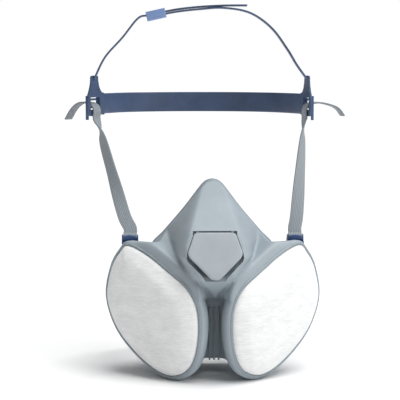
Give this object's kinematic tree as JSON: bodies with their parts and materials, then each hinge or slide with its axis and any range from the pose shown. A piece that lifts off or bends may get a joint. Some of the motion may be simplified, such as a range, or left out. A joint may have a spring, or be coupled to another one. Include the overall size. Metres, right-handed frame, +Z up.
{
  "type": "half mask respirator",
  "caption": "Half mask respirator for spray painting, with built-in pad filters turned outwards, a hooded exhalation valve, a moulded head harness and a clasped neck strap.",
  "frame": {"origin": "middle of the face opening, where the wearer's face meets the seal", "axes": "+Z up, -Y forward out of the mask, +X to the right seen from the front"},
  "size_m": [0.2181, 0.1861, 0.2717],
  "materials": {
    "body": "soft-touch moulded thermoplastic elastomer, matt",
    "seal": "soft moulded elastomer, satin",
    "rim": "moulded elastomer edge, matt",
    "hood": "moulded elastomer, fine matt",
    "pad": "needled non-woven polyester, brushed",
    "media": "electret non-woven",
    "charcoal": "activated charcoal granules",
    "hard_grey": "moulded polypropylene",
    "valve_rubber": "thin translucent rubber",
    "clip_blue": "moulded acetal, satin",
    "harness": "moulded elastomer strap, satin",
    "webbing": "woven elastic tape",
    "clasp": "moulded acetal, fine matt"
  },
  "bodies": {
    "facepiece": {"face_seal": "seal", "body_shell": "body", "right_filter_tray": "body", "left_filter_tray": "body", "right_filter_rim": "rim", "left_filter_rim": "rim", "right_filter_pad": "pad", "left_filter_pad": "pad", "right_particle_layer": "media", "left_particle_layer": "media", "right_carbon_bed": "charcoal", "left_carbon_bed": "charcoal", "right_support_grid": "hard_grey", "left_support_grid": "hard_grey", "right_inhalation_seat": "hard_grey", "left_inhalation_seat": "hard_grey", "exhalation_seat": "hard_grey", "right_strap_clip": "clip_blue", "left_strap_clip": "clip_blue"},
    "valve_hood": {"valve_hood": "hood"},
    "exhalation_valve": {"exhalation_valve": "valve_rubber"},
    "right_inhalation_valve": {"right_inhalation_valve": "valve_rubber"},
    "left_inhalation_valve": {"left_inhalation_valve": "valve_rubber"},
    "harness": {"head_band": "harness", "right_ladder_buckle": "clip_blue", "left_ladder_buckle": "clip_blue", "crown_strap_left": "harness", "crown_strap_right": "harness", "crown_loop": "clip_blue", "right_webbing": "webbing", "left_webbing": "webbing"},
    "neck_strap": {"right_neck_webbing": "webbing", "left_neck_webbing": "webbing", "neck_clasp_socket": "clasp", "neck_clasp_tongue": "clasp"}
  },
  "joints": [
    {"name": "hood_lift", "type": "hinge", "parent": "facepiece", "child": "valve_hood", "pos_m": [0, -0.06435, 0.05086], "axis": [-1, 0, 0], "range_deg": [0, 50]},
    {"name": "exhalation_valve_lift", "type": "slide", "parent": "facepiece", "child": "exhalation_valve", "axis": [0, -0.8616, 0.5075], "range_m": [0, 0.0012], "stiffness_N_per_m": 5, "springref_m": -0.0004},
    {"name": "right_inhalation_valve_lift", "type": "slide", "parent": "facepiece", "child": "right_inhalation_valve", "axis": [-0.6198, 0.7848, 0], "range_m": [0, 0.0012], "stiffness_N_per_m": 5, "springref_m": -0.0004},
    {"name": "left_inhalation_valve_lift", "type": "slide", "parent": "facepiece", "child": "left_inhalation_valve", "axis": [0.6198, 0.7848, 0], "range_m": [0, 0.0012], "stiffness_N_per_m": 5, "springref_m": -0.0004},
    {"name": "harness_fold", "type": "hinge", "parent": "facepiece", "child": "harness", "pos_m": [0, -0.01904, 0.04315], "axis": [1, 0, 0], "range_deg": [-45, 85]},
    {"name": "neck_strap_swing", "type": "hinge", "parent": "facepiece", "child": "neck_strap", "pos_m": [0, -0.01324, 0.03816], "axis": [1, 0, 0], "range_deg": [0, 40]}
  ]
}
